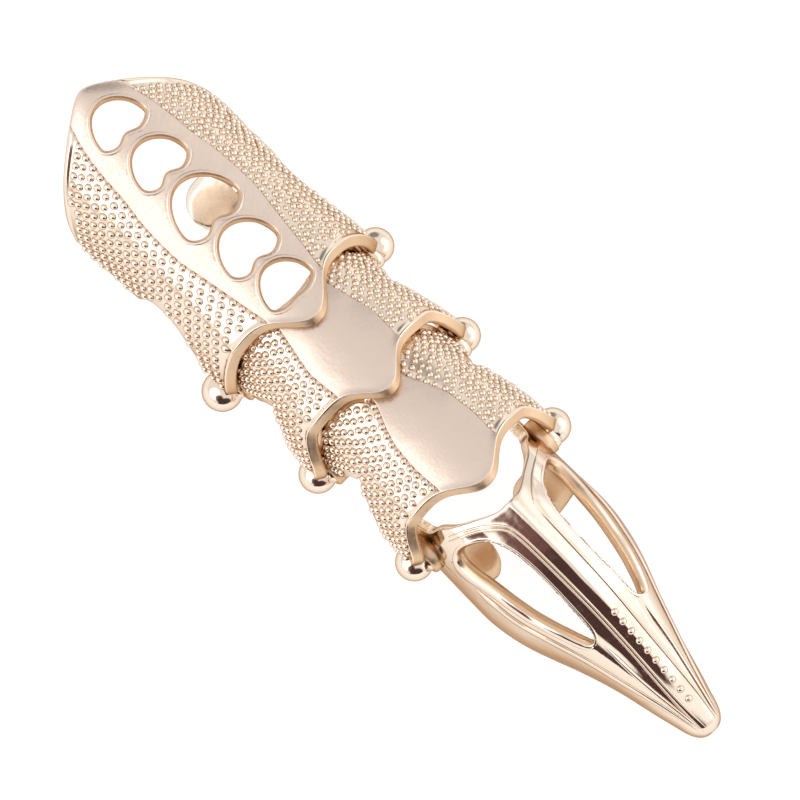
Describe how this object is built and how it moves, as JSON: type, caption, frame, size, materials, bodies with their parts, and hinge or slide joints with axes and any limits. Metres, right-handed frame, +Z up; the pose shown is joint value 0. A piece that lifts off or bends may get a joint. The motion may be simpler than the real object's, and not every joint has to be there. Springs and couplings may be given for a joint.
{
  "type": "articulated armour ring",
  "caption": "Full-finger armour ring: pierced base plate with an open finger band, short lipped plates and a windowed claw, hinged one to the next on rivets behind ball knobs.",
  "frame": {"origin": "middle of the overall box, on the surface the ring lies on", "axes": "+X along the finger towards the claw's point, +Y across the finger, +Z up through the crest of the plates"},
  "size_m": [0.0886, 0.025, 0.021],
  "materials": {
    "rose_gold_plate": "pale rose-gold plate over cast zinc alloy, polished rims, satin panels and beaded flanks",
    "rivet_metal": "plain turned rivet with the same pale plate"
  },
  "bodies": {
    "base": {"base_plate": "rose_gold_plate", "rivet_1_left": "rivet_metal", "rivet_1_right": "rivet_metal"},
    "knuckle": {"knuckle_plate": "rose_gold_plate", "rivet_2_left": "rivet_metal", "rivet_2_right": "rivet_metal"},
    "middle": {"middle_plate": "rose_gold_plate", "rivet_3_left": "rivet_metal", "rivet_3_right": "rivet_metal"},
    "claw": {"claw_tip": "rose_gold_plate"}
  },
  "joints": [
    {"name": "rear_hinge", "type": "hinge", "parent": "base", "child": "knuckle", "pos_m": [-0.01365, 0, 0.0082], "axis": [0, 1, 0], "range_deg": [0, 40]},
    {"name": "middle_hinge", "type": "hinge", "parent": "knuckle", "child": "middle", "pos_m": [-0.00135, 0, 0.0082], "axis": [0, 1, 0], "range_deg": [0, 45]},
    {"name": "front_hinge", "type": "hinge", "parent": "middle", "child": "claw", "pos_m": [0.01175, 0, 0.0082], "axis": [0, 1, 0], "range_deg": [0, 45]}
  ]
}
